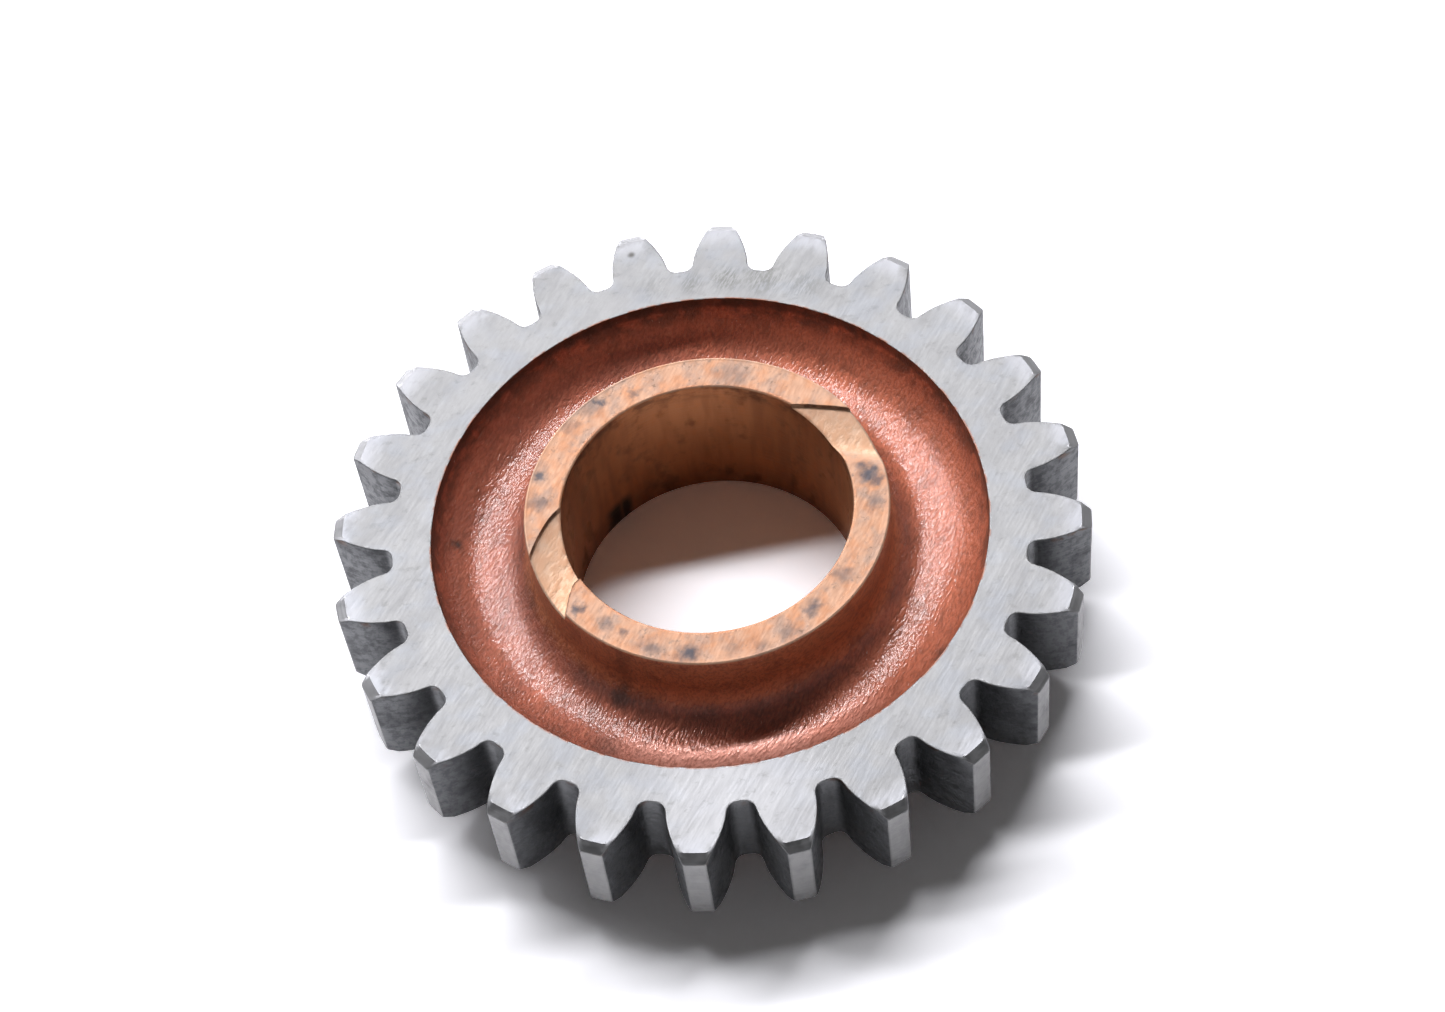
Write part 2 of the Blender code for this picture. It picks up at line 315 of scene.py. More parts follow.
def tooth_sector():
    """One pitch of the whole gear, from the bore round the tooth and back, as a mesh object."""
    front = side_rows(FRONT_BOSS, FRONT_RECESS, FRONT_FILLET, FRONT_WALL_DROPS, FRONT_STEPS)
    back = side_rows(BACK_BOSS, BACK_RECESS, BACK_FILLET, BACK_WALL_DROPS, BACK_STEPS)
    front = [(row + [0, 0, FRONT_FACE], finish) for row, finish in front]
    back = [(row * [1, 1, -1] + [0, 0, BACK_FACE], finish) for row, finish in back]
    top_edge, bottom_edge = front[-1][0], back[-1][0]
    rows = [row for row, finish in front]
    rows += [top_edge + (bottom_edge - top_edge) * share for share in WALL_SHARES]
    back_start = len(rows)
    rows += [row for row, finish in back[::-1]]
    rows += [turned_row(BORE_RADIUS, height) for height in BORE_HEIGHTS]
    strips = [finish for row, finish in front[:-1]]
    strips += ["wall"] * (len(WALL_SHARES) + 1)
    strips += [finish for row, finish in back[-2::-1]]
    strips += ["bore"] * (len(BORE_HEIGHTS) + 1)
    crease_strip = len(front) - ROUND_STEPS - 3
    back_crease_strip = back_start + ROUND_STEPS + 1
    creases = (crease_strip, back_crease_strip)

    faces, finishes = [], []
    for number, strip in enumerate(strips):
        above = number * COLUMNS
        below = (number + 1) % len(rows) * COLUMNS
        by_edge = crease_strip <= number <= back_crease_strip
        for column in range(COLUMNS - 1):
            finish = strip
            if strip == "wall":
                finish = "land" if column in LAND else "hobbed"
            elif strip == "ground" and by_edge and CHAMFER_START <= column < CHAMFER_END:
                finish = "chamfer"
            corners = (above + column, below + column, below + column + 1, above + column + 1)
            cuts = WHOLE
            if number in creases and column in (CHAMFER_START, CHAMFER_END - 1):
                falling = (column == CHAMFER_START) == (number == crease_strip)
                cuts = CUT_FALLING if falling else CUT_RISING
            faces += [[corners[corner] for corner in cut] for cut in cuts]
            finishes += [FINISHES.index(finish)] * len(cuts)
    mesh = bpy.data.meshes.new("tooth_sector")
    mesh.from_pydata((np.vstack(rows) * MM).tolist(), [], faces)
    mesh.attributes.new("finish", "INT", "FACE").data.foreach_set("value", finishes)
    sector = bpy.data.objects.new("tooth_sector", mesh)
    bpy.context.scene.collection.objects.link(sector)
    return sector


def add_node(tree, kind, inputs=None, **settings):
    """A node with its settings. inputs maps a socket's name or number to a value or an output."""
    made = tree.nodes.new(kind)
    for name, value in settings.items():
        setattr(made, name, value)
    for key, value in (inputs or {}).items():
        if isinstance(value, bpy.types.NodeSocket):
            tree.links.new(value, made.inputs[key])
        else:
            made.inputs[key].default_value = value
    return made


def gear_ring_tree(materials):
    """Geometry Nodes: one sector set round the axis as many times as there are teeth."""
    tree = bpy.data.node_groups.new("gear_ring", "GeometryNodeTree")
    tree.is_modifier = True
    kinds = {"Sector": "NodeSocketGeometry", "Teeth": "NodeSocketInt", "Seam": "NodeSocketFloat"}
    sockets = {}
    for name, kind in kinds.items():
        socket = tree.interface.new_socket(name, in_out="INPUT", socket_type=kind)
        sockets[name] = socket.identifier
    tree.interface.new_socket("Gear", in_out="OUTPUT", socket_type="NodeSocketGeometry")
    given = add_node(tree, "NodeGroupInput").outputs
    points = add_node(tree, "GeometryNodePoints", {"Count": given["Teeth"]}).outputs[0]
    index = add_node(tree, "GeometryNodeInputIndex").outputs[0]
    turns = {0: 2 * math.pi, 1: given["Teeth"]}
    pitch = add_node(tree, "ShaderNodeMath", turns, operation="DIVIDE").outputs[0]
    turn = add_node(tree, "ShaderNodeMath", {0: index, 1: pitch}, operation="MULTIPLY").outputs[0]
    angles = add_node(tree, "ShaderNodeCombineXYZ", {"Z": turn}).outputs[0]
    placing = {"Points": points, "Instance": given["Sector"], "Rotation": angles}
    copies = add_node(tree, "GeometryNodeInstanceOnPoints", placing).outputs[0]
    real = add_node(tree, "GeometryNodeRealizeInstances", {"Geometry": copies}).outputs[0]
    joining = {"Geometry": real, "Distance": given["Seam"]}
    body = add_node(tree, "GeometryNodeMergeByDistance", joining).outputs[0]
    finish = add_node(tree, "GeometryNodeInputNamedAttribute", {"Name": "finish"}, data_type="INT")
    for number, material in enumerate(materials):
        chosen = add_node(
            tree,
            "FunctionNodeCompare",
            {2: finish.outputs["Attribute"], 3: number},
            data_type="INT",
            operation="EQUAL",
        ).outputs[0]
        painting = {"Geometry": body, "Selection": chosen, "Material": material}
        body = add_node(tree, "GeometryNodeSetMaterial", painting).outputs[0]
    add_node(tree, "NodeGroupOutput", {0: body})
    return tree, sockets


def gear_ring(sector, materials):
    """The whole gear as a plain mesh object."""
    tree, sockets = gear_ring_tree(materials)
    modifier = sector.modifiers.new("gear_ring", "NODES")
    modifier.node_group = tree
    modifier[sockets["Teeth"]] = TEETH
    modifier[sockets["Seam"]] = SEAM * MM
    bpy.context.view_layer.update()
    graph = bpy.context.evaluated_depsgraph_get()
    mesh = bpy.data.meshes.new_from_object(sector.evaluated_get(graph))
    mesh.name = "pinion"
    bpy.data.objects.remove(sector, do_unlink=True)
    gear = bpy.data.objects.new("pinion", mesh)
    bpy.context.scene.collection.objects.link(gear)
    return gear


def smoothstep(value):
    value = np.clip(value, 0, 1)
    return value * value * (3 - 2 * value)


def edge_bearing(points, radii):
    """The bearing of a notch edge at each radius."""
    known_radii, known_bearings = zip(*points)
    return np.interp(radii, known_radii, np.radians(known_bearings))


def wrapped(angles):
    return (angles + math.pi) % (2 * math.pi) - math.pi


def slanted(bearing, radius):
    """The hub's columns drawn towards the notch edges and slanted along them."""
    middle = [float(edge_bearing(points, HUB_MIDDLE)) for points, width, form in NOTCH_EDGES]
    gathered = bearing.copy()
    for at in middle:
        away = wrapped(bearing - at)
        share = np.minimum(np.abs(away) / NOTCH_GATHER, 1)
        gathered += np.sign(away) * NOTCH_GATHER * (share**NOTCH_GATHER_POWER - share)
    slants = [edge_bearing(edge[0], radius) - at for edge, at in zip(NOTCH_EDGES, middle)]
    slant = np.zeros_like(radius)
    for first in NOTCH_STARTS:
        start, end = middle[first], middle[first + 1]
        span = end - start
        past = wrapped(gathered - start)
        past = np.where(past < -NOTCH_FADE - NOTCH_FADE_MARGIN, past + 2 * math.pi, past)
        inside = np.clip(past / span, 0, 1)
        mixed = slants[first] * (1 - inside) + slants[first + 1] * inside
        coming = np.clip(1 + past / NOTCH_FADE, 0, 1)
        going = np.clip(1 - (past - span) / NOTCH_FADE, 0, 1)
        slant += mixed * smoothstep(coming * going)
    return gathered + slant


def wall_fall(distance, width, form):
    """How far a notch has fallen, 0 to 1, at a distance inside one of its edges."""
    if form == "stepped":
        step = STEP_SHARE * smoothstep(distance / STEP_WIDTH)
        return step + (1 - STEP_SHARE) * np.clip(distance / width, 0, 1)
    return smoothstep(distance / width)


def notch_fall(bearing, radius, height):
    """How far the notches have fallen at each point, 0 to 1, and the painted shade line along their
    edges.
    """
    fall = np.zeros_like(radius)
    step_shade = np.zeros_like(radius)
    near_top = height > HUB_TOP - STEP_SHADE_DEPTH
    for first in NOTCH_STARTS:
        walls = []
        for (points, width, form), way in zip(NOTCH_EDGES[first : first + 2], (1, -1)):
            inside = way * wrapped(bearing - edge_bearing(points, radius)) * radius * NOTCH_LEAN
            walls.append(wall_fall(inside, width, form))
            if form != "ramp":
                centre = STEP_SHADE_CENTRE if form == "stepped" else 0
                dark_marks = np.exp(-(((inside - centre) / STEP_SHADE_WIDTH) ** 2))
                step_shade = np.maximum(step_shade, dark_marks * near_top)
        fall = np.maximum(fall, walls[0] * walls[1])
    return fall, step_shade


def cut_notches(mesh):
    """Slants the hub's columns along the notch edges, then presses the notches in from its top."""
    count = len(mesh.vertices)
    points = np.empty(count * 3)
    mesh.vertices.foreach_get("co", points)
    points = points.reshape(-1, 3) / MM
    radii = np.hypot(points[:, 0], points[:, 1])
    on_hub = (radii < HUB_RADIUS + HUB_TOLERANCE) & (points[:, 2] > NOTCH_SQUASH_BASE)
    radius, height = radii[on_hub], points[on_hub, 2]
    bearing = np.arctan2(points[on_hub, 1], points[on_hub, 0])
    notch_floor = HUB_TOP - NOTCH_DEPTH
    amount = smoothstep((height - NOTCH_SQUASH_BASE) / (notch_floor - NOTCH_SQUASH_BASE))
    turned = bearing + (slanted(bearing, radius) - bearing) * amount
    fall, step_shade = notch_fall(turned, radius, height)
    kept = 1 - fall * NOTCH_DEPTH / (HUB_TOP - NOTCH_SQUASH_BASE)
    pressed = NOTCH_SQUASH_BASE + (height - NOTCH_SQUASH_BASE) * kept
    points[on_hub] = np.column_stack([radius * np.cos(turned), radius * np.sin(turned), pressed])
    mesh.vertices.foreach_set("co", (points * MM).ravel())
    for name, values in (("notch", fall * amount), ("step_shade", step_shade * amount)):
        whole = np.zeros(count)
        whole[on_hub] = values
        mesh.attributes.new(name, "FLOAT", "POINT").data.foreach_set("value", whole)
    mesh.update()


def linear(code):
    """An sRGB hex colour as linear red, green, blue and alpha."""
    channels = [int(code[i : i + 2], 16) / 255 for i in (0, 2, 4)]
    return (*[c / 12.92 if c <= 0.04045 else ((c + 0.055) / 1.055) ** 2.4 for c in channels], 1.0)


def metal(name):
    """A bare metal, with its node tree, its shader and the object's own coordinates."""
    material = bpy.data.materials.new(name)
    material.use_nodes = True
    tree = material.node_tree
    shader = tree.nodes["Principled BSDF"]
    shader.inputs["Metallic"].default_value = 1.0
    return material, tree, shader, add_node(tree, "ShaderNodeTexCoord").outputs["Object"]


def grain(tree, place, size, turn=0, detail=2.0, roughness=0.5, seed=0):
    """Noise whose cells are size mm along, across and deep, turned by degrees round the bore.

    Each seed takes another part of the noise.
    """
    fitting = {
        "Vector": place,
        "Location": (0.1 * seed, 0.037 * seed, 0),
        "Rotation": (0, 0, math.radians(turn)),
        "Scale": [s * MM for s in size],
    }
    turned = add_node(tree, "ShaderNodeMapping", fitting, vector_type="TEXTURE").outputs[0]
    noise = {"Vector": turned, "Scale": 1.0, "Detail": detail, "Roughness": roughness}
    return add_node(tree, "ShaderNodeTexNoise", noise).outputs[0]


def between(tree, value, start, end, low=0.0, high=1.0):
    """Rises smoothly from low to high as the value goes from start to end."""
    reach = {"Value": value, "From Min": start, "From Max": end, "To Min": low, "To Max": high}
    return add_node(tree, "ShaderNodeMapRange", reach, interpolation_type="SMOOTHSTEP").outputs[0]


def patches(tree, place, size, start, end, low=0.0, **noise):
    """A mask that rises from low to 1 where the grain goes from start to end."""
    return between(tree, grain(tree, place, size, **noise), start, end, low)


def product(tree, *values):
    """All the masks multiplied together."""
    result = values[0]
    for value in values[1:]:
        both = {0: result, 1: value}
        result = add_node(tree, "ShaderNodeMath", both, operation="MULTIPLY").outputs[0]
    return result


def flattened(tree, place):
    """The place with its height left out."""
    both = {0: place, 1: (1, 1, 0)}
    return add_node(tree, "ShaderNodeVectorMath", both, operation="MULTIPLY").outputs[0]


def radius_of(tree, place):
    """Distance from the bore's axis, in mm."""
    flat = {0: flattened(tree, place)}
    length = add_node(tree, "ShaderNodeVectorMath", flat, operation="LENGTH")
    return product(tree, length.outputs["Value"], 1 / MM)


def coordinate(tree, place, axis):
    """How far the place lies along one axis, in metres."""
    return add_node(tree, "ShaderNodeSeparateXYZ", {0: place}).outputs[axis]


def ring(tree, radius, start, full, end, gone):
    """A mask that is 1 from the radius full to end, and 0 before start and past gone."""
    rise = between(tree, radius, start, full)
    return product(tree, rise, between(tree, radius, end, gone, 1.0, 0.0))


def stains(tree, place, spots, ragged):
    """A mask of round stains. Each spot is (x, y, radius, strength) in mm.

    ragged is how far their edges wander.
    """
    ragging = {"Vector": place, "Scale": 1 / (STAIN_RAGS * MM), "Detail": 3.0}
    noise = add_node(tree, "ShaderNodeTexNoise", ragging).outputs["Color"]
    halves = {0: noise, 1: (0.5, 0.5, 0.5)}
    centred = add_node(tree, "ShaderNodeVectorMath", halves, operation="SUBTRACT").outputs[0]
    reach = {0: centred, 1: (2 * ragged * MM, 2 * ragged * MM, 0), 2: place}
    wander = add_node(tree, "ShaderNodeVectorMath", reach, operation="MULTIPLY_ADD").outputs[0]
    flat = flattened(tree, wander)
    mask = 0.0
    for x, y, radius, strength in spots:
        ends = {0: flat, 1: (x * MM, y * MM, 0)}
        away = add_node(tree, "ShaderNodeVectorMath", ends, operation="DISTANCE").outputs["Value"]
        edge, core = 1.7 * radius * MM, 0.2 * radius * MM
        spot = between(tree, away, edge, core, 0.0, strength)
        mask = add_node(tree, "ShaderNodeMath", {0: mask, 1: spot}, operation="MAXIMUM").outputs[0]
    return mask


def painted(tree, ground, coats):
    """A base colour with each (hex colour, mask, strength) laid over it in turn."""
    colour = linear(ground)
    for code, mask, strength in coats:
        layers = {0: product(tree, mask, strength), 6: colour, 7: linear(code)}
        colour = add_node(tree, "ShaderNodeMix", layers, data_type="RGBA").outputs[2]
    return colour


def relief(tree, shader, height, depth, coat=False):
    """Bump of a depth in mm, also in the clear coat where there is one."""
    form = {"Height": height, "Distance": depth * MM, "Strength": 1.0}
    bump = add_node(tree, "ShaderNodeBump", form).outputs[0]
    tree.links.new(bump, shader.inputs["Normal"])
    if coat:
        tree.links.new(bump, shader.inputs["Coat Normal"])


def ground_steel():
    """Carbon steel, surface ground: pale grey, mottled, its sheen broken by oblique scratches.

    Such scratches are about 0.03 mm wide. They are drawn 0.22 mm wide, to show at all.
    """
    material, tree, shader, place = metal("ground_steel")
    radius = radius_of(tree, place)
    scratches = grain(tree, place, (2.6, 0.22, 0.22), turn=GRIND, detail=3, roughness=0.65)
    bite = patches(
        tree, place, (0.8, 0.35, 0.35), 0.35, 0.7, turn=GRIND + 3, detail=3, roughness=0.7, seed=2
    )
    bright = patches(tree, place, (1.2, 0.22, 0.22), 0.6, 0.75, turn=GRIND + 1, detail=3, seed=9)
    clouds = patches(
        tree, place, (5, 3.5, 3.5), 0.38, 0.66, turn=GRIND - 1, detail=4, roughness=0.6, seed=4
    )
    cool = patches(tree, place, (3.5, 2.6, 2.6), 0.45, 0.68, detail=3, seed=5)
    blotches = patches(tree, place, (1.3, 0.9, 0.9), 0.56, 0.72, detail=4, roughness=0.65, seed=6)
    smears = (
        (9.0, 30.4, 1.6, 1.0),
        (13.0, 29.4, 2.4, 0.8),
        (5.2, 30.8, 1.4, 0.7),
        (17.0, 27.2, 2.0, 0.6),
        (1.0, 31.5, 2.0, 0.4),
    )
    dirty_scratches = patches(
        tree, place, (1.1, 0.22, 0.22), 0.36, 0.62, turn=GRIND, detail=4, roughness=0.7, seed=7
    )
    smudge = product(tree, stains(tree, place, smears, 0.8), dirty_scratches)
    spot = stains(tree, place, ((-0.4, 36.65, 0.35, 1),), 0.2)
    # Painted highlight: the rim's colour is lighter towards the teeth's tips.
    near_tip = between(tree, radius, TIP_RADIUS - 3.9, TIP_RADIUS - 1.2)
    tip_sheen = product(tree, near_tip, between(tree, clouds, 1.0, 0.2))
    # Painted light: a lighter patch over the rim's front stands in for the brighter sheen it shows
    # there.
    front_sheen = stains(tree, place, ((-5, -32.5, 8, 1),), 1.5)
    inside = (RECESS_RADIUS - 1.02, RECESS_RADIUS - 0.12)
    lip = ring(tree, radius, *inside, RECESS_RADIUS, RECESS_RADIUS + 0.28)
    rust = product(tree, lip, patches(tree, place, (1.6, 1.6, 1.6), 0.45, 0.58, detail=4, seed=8))
    colour = painted(
        tree,
        "7d7d7d",
        (
            ("868687", scratches, 0.15),
            ("656564", bite, 0.18),
            ("686869", clouds, 0.35),
            ("7a7e85", cool, 0.3),
            ("9b9b9a", bright, 0.08),
            ("98989a", front_sheen, 0.5),
            ("585855", blotches, 0.3),
            ("96979c", tip_sheen, 0.5),
            ("484843", smudge, 0.6),
            ("3d3a36", spot, 0.8),
            ("7a4526", rust, 0.85),
        ),
    )
    tree.links.new(colour, shader.inputs["Base Color"])
    tree.links.new(between(tree, scratches, 0.2, 0.8, 0.46, 0.54), shader.inputs["Roughness"])
    relief(tree, shader, scratches, 0.0025)
    return material


def hobbed_steel():
    """Steel cut by a hob: dark, mottled, with faint level lines where the hob fed."""
    material, tree, shader, place = metal("hobbed_steel")
    height = coordinate(tree, place, "Z")
    radius = radius_of(tree, place)
    mottle = patches(tree, place, (0.9, 0.9, 1.1), 0.4, 0.64, detail=4, roughness=0.7)
    feed = grain(tree, place, (5, 5, 0.35), detail=2, seed=1)
    soot = patches(tree, place, (3.2, 3.2, 4), 0.46, 0.68, detail=4, roughness=0.6, seed=2)
    # Painted light: the root of each gap is lighter, as if lit.
    root = between(tree, radius, ROOT_RADIUS + 0.9, ROOT_RADIUS + 0.2)
    near_top = between(tree, height, (FRONT_FACE - 1.2) * MM, (FRONT_FACE - 0.2) * MM)
    rusty = patches(tree, place, (2.2, 2.2, 2.2), 0.54, 0.66, detail=4, seed=3)
    colour = painted(
        tree,
        "68696b",
        (
            ("4c4d50", mottle, 0.6),
            ("88898b", feed, 0.25),
            ("37373a", soot, 0.5),
            ("8d8e90", root, 0.4),
            ("5c4030", product(tree, near_top, rusty), 0.6),
        ),
    )
    tree.links.new(colour, shader.inputs["Base Color"])
    tree.links.new(between(tree, mottle, 0, 1, 0.44, 0.6), shader.inputs["Roughness"])
    relief(tree, shader, feed, 0.05)
    return material


def turned_steel(name, ground, roughness):
    """Steel turned before the teeth were cut: mid grey, with the rings that the tool left.

    Such rings are about 0.1 mm apart. They are drawn 0.22 mm apart, to show at all.
    """
    material, tree, shader, place = metal(name)
    rings = grain(tree, place, (6, 6, 0.22), detail=2, seed=1)
    mottle = patches(tree, place, (1.1, 1.1, 1.5), 0.35, 0.7, detail=4, roughness=0.65, seed=2)
    dark = patches(tree, place, (2.5, 2.5, 3), 0.55, 0.75, detail=3, seed=3)
    coats = (("7d7d7f", mottle, 0.5), ("c4c4c6", rings, 0.3), ("58585a", dark, 0.45))
    tree.links.new(painted(tree, ground, coats), shader.inputs["Base Color"])
    rough = between(tree, mottle, 0, 1, roughness - 0.05, roughness + 0.08)
    tree.links.new(rough, shader.inputs["Roughness"])
    relief(tree, shader, rings, 0.04)
    return material


def copper_web():
    """Forged steel under an oxidised copper flash: red-brown, pebbly, its oil film sparkling."""
    material, tree, shader, place = metal("copper_flashed_forging")
    radius = radius_of(tree, place)
    pebbles = grain(tree, place, (0.9, 0.34, 0.42), turn=BRUSHED, detail=2, roughness=0.6)
    fine = grain(tree, place, (0.5, 0.24, 0.3), turn=BRUSHED, detail=1, seed=1)
    layers = {0: fine, 1: 0.5, 2: pebbles}
    skin = add_node(tree, "ShaderNodeMath", layers, operation="MULTIPLY_ADD").outputs[0]
    salmon = patches(tree, place, (7, 5, 5), 0.42, 0.66, turn=BRUSHED, detail=3, seed=2)
    brown = patches(
        tree, place, (3.2, 2, 2), 0.48, 0.7, turn=BRUSHED, detail=4, roughness=0.6, seed=3
    )
    # Painted light: the copper is lighter and redder to the right, where more lamp light falls on
    # it.
    right_side_light = between(tree, coordinate(tree, place, "X"), -6 * MM, 24 * MM)
    hollow = between(tree, skin, 0.82, 0.6)
    crest = between(tree, skin, 0.8, 1.0)
    spots = (
        (-26.0, 7.3, 0.5, 1.0),
        (-13.0, -15.3, 1.1, 0.9),
        (19.6, -20.2, 0.9, 1.0),
        (-16.0, -20.0, 1.6, 0.4),
    )
    dark_marks = stains(tree, place, spots, 0.7)
    # Painted light: the hub's side wall is lighter, standing in for the light it reflects from the
    # web.
    hub_wall_light = between(tree, radius, HUB_RADIUS + 1.4, HUB_RADIUS + 0.2)
    # At the front the copper is oily and smoother, and a pale painted glint lies on it in an arc.
    oil_and_glint = stains(tree, place, ((-8, -24, 7, 1), (0, -25.5, 7, 1), (8, -24.5, 5, 0.6)), 1.0)
    front_arc = ring(tree, radius, 23.2, 24.2, 25.8, 28.0)
    patchy_painted_light = product(tree, oil_and_glint, front_arc, between(tree, skin, 0.5, 0.9, 0.4, 1.0))
    foot = product(
        tree,
        ring(tree, radius, HUB_RADIUS + 0.2, HUB_RADIUS + 0.9, HUB_RADIUS + 1.3, HUB_RADIUS + 2.6),
        patches(tree, place, (4, 4, 4), 0.3, 0.6, detail=3, seed=4),
    )
    beyond = (RECESS_RADIUS + 1, RECESS_RADIUS + 2)
    edge = product(
        tree,
        ring(tree, radius, RECESS_RADIUS - 1.2, RECESS_RADIUS - 0.2, *beyond),
        patches(tree, place, (2, 2, 2), 0.38, 0.6, detail=4, seed=5),
    )
    # Painted shade: a very dark line just inside the recess's edge, under its lip.
    line = ring(tree, radius, RECESS_RADIUS - 0.22, RECESS_RADIUS - 0.04, *beyond)
    nicks = patches(tree, place, (1.8, 0.16, 0.3), 0.74, 0.79, turn=70, seed=6)
    colour = painted(
        tree,
        "9c5641",
        (
            ("b8674c", salmon, 0.6),
            ("cf7450", right_side_light, 0.5),
            ("c4845c", hub_wall_light, 0.75),
            ("6c3a28", brown, 0.5),
            ("56301f", hollow, 0.35),
            ("bf8164", crest, 0.3),
            ("e0a493", patchy_painted_light, 0.7),
            ("3a302e", foot, 0.35),
            ("2c1c14", edge, 0.65),
            ("140f0c", line, 0.7),
            ("2a211e", dark_marks, 0.85),
            ("e8cfc4", nicks, 0.8),
        ),
    )
    tree.links.new(colour, shader.inputs["Base Color"])
    dull = between(tree, skin, 0.4, 1.0, 0.5, 0.6)
    rough = product(tree, dull, between(tree, oil_and_glint, 0, 1, 1.0, 0.72))
    tree.links.new(rough, shader.inputs["Roughness"])
    shader.inputs["Metallic"].default_value = 0.5
    shader.inputs["Coat Weight"].default_value = 0.75
    shader.inputs["Coat Roughness"].default_value = 0.13
    relief(tree, shader, skin, 0.085, coat=True)
    return material


def copper_hub_face():
    """Turned face with a copper flash rubbed thin: pale peach, clouded with slate-grey stains."""
    material, tree, shader, place = metal("worn_copper_flash")
    radius = radius_of(tree, place)
    notch = add_node(tree, "ShaderNodeAttribute", attribute_name="notch").outputs["Fac"]
    step_shade = add_node(tree, "ShaderNodeAttribute", attribute_name="step_shade").outputs["Fac"]
    veil = patches(
        tree, place, (2.6, 2.1, 2.1), 0.44, 0.68, turn=BRUSHED, detail=4, roughness=0.6
    )
    warm = patches(tree, place, (2.4, 2.0, 2.0), 0.4, 0.65, turn=BRUSHED, detail=3, seed=1)
    blots = patches(
        tree, place, (1.1, 0.9, 0.9), 0.58, 0.72, turn=BRUSHED, detail=5, roughness=0.65, seed=2
    )
    spots = (
        (-15.3, -8.5, 0.55, 0.9),
        (-12.9, -11.0, 0.8, 0.55),
        (-11.4, -12.6, 0.6, 0.7),
        (-9.0, -15.1, 1.0, 0.6),
        (-5.6, -16.8, 1.1, 1.0),
        (-1.3, -17.3, 0.9, 0.35),
        (1.4, -17.9, 0.9, 0.5),
        (4.7, -17.0, 0.9, 0.5),
        (7.5, -15.0, 0.8, 0.85),
        (11.4, -12.2, 0.9, 0.6),
        (-15.9, 8.3, 0.6, 0.9),
        (-16.8, 5.3, 1.0, 0.6),
        (-8.1, 16.2, 0.6, 0.9),
        (-7.4, 16.0, 0.5, 0.8),
        (-4.0, 16.2, 0.5, 0.6),
        (-11.7, 13.8, 0.9, 0.45),
        (-9.1, 15.5, 1.2, 0.4),
        (6.2, 15.5, 1.7, 0.4),
        (16.6, 0.3, 0.8, 0.8),
        (17.1, -1.0, 1.1, 1.0),
        (17.8, -1.6, 0.7, 0.8),
        (16.7, -4.2, 0.9, 0.6),
    )
    slate = stains(tree, place, spots, 1.2)
    specks = patches(tree, place, (0.55, 0.45, 0.45), 0.58, 0.7, detail=3, seed=5)
    patchy_painted_light = patches(tree, place, (1.4, 1.4, 1.4), 0.35, 0.6, low=0.15, detail=3, seed=6)
    bore_edge = ring(tree, radius, 14.0, 14.9, BORE_RADIUS + 0.2, BORE_RADIUS + 0.5)
    # Painted highlight: the hub face is lighter on its rounded outer edge.
    rim_edge = between(tree, radius, HUB_RADIUS - 0.3, HUB_RADIUS - 0.1)
    brush = grain(tree, place, (1.2, 0.3, 0.3), turn=BRUSHED, detail=3, seed=3)
    floor_grain = patches(
        tree, place, (1.5, 0.8, 0.8), 0.36, 0.62, turn=BRUSHED, detail=4, roughness=0.65, seed=4
    )
    colour = painted(
        tree,
        "b18e77",
        (
            ("b27c58", warm, 0.55),
            ("867c77", veil, 0.45),
            ("6d6863", blots, 0.45),
            ("454a53", slate, 0.9),
            ("54463d", product(tree, veil, specks), 0.5),
            ("f2ccac", notch, 0.9),
            ("c48a60", product(tree, notch, floor_grain), 0.6),
            ("c08058", product(tree, bore_edge, veil), 0.6),
            ("c4a48e", rim_edge, 0.3),
            ("3f2a20", product(tree, notch, rim_edge), 0.6),
            # Painted shade: the dark line along the top of the notch walls, in patches.
            ("3a2318", product(tree, step_shade, patchy_painted_light), 0.8),
        ),
    )
    tree.links.new(colour, shader.inputs["Base Color"])
    tree.links.new(between(tree, brush, 0.2, 0.8, 0.58, 0.7), shader.inputs["Roughness"])
    tree.links.new(between(tree, notch, 0.05, 0.3, 1.0, 0.35), shader.inputs["Metallic"])
    both = {0: notch, 2: brush, 3: product(tree, floor_grain, 3.0)}
    relief(tree, shader, add_node(tree, "ShaderNodeMix", both).outputs[0], 0.016)
    return material


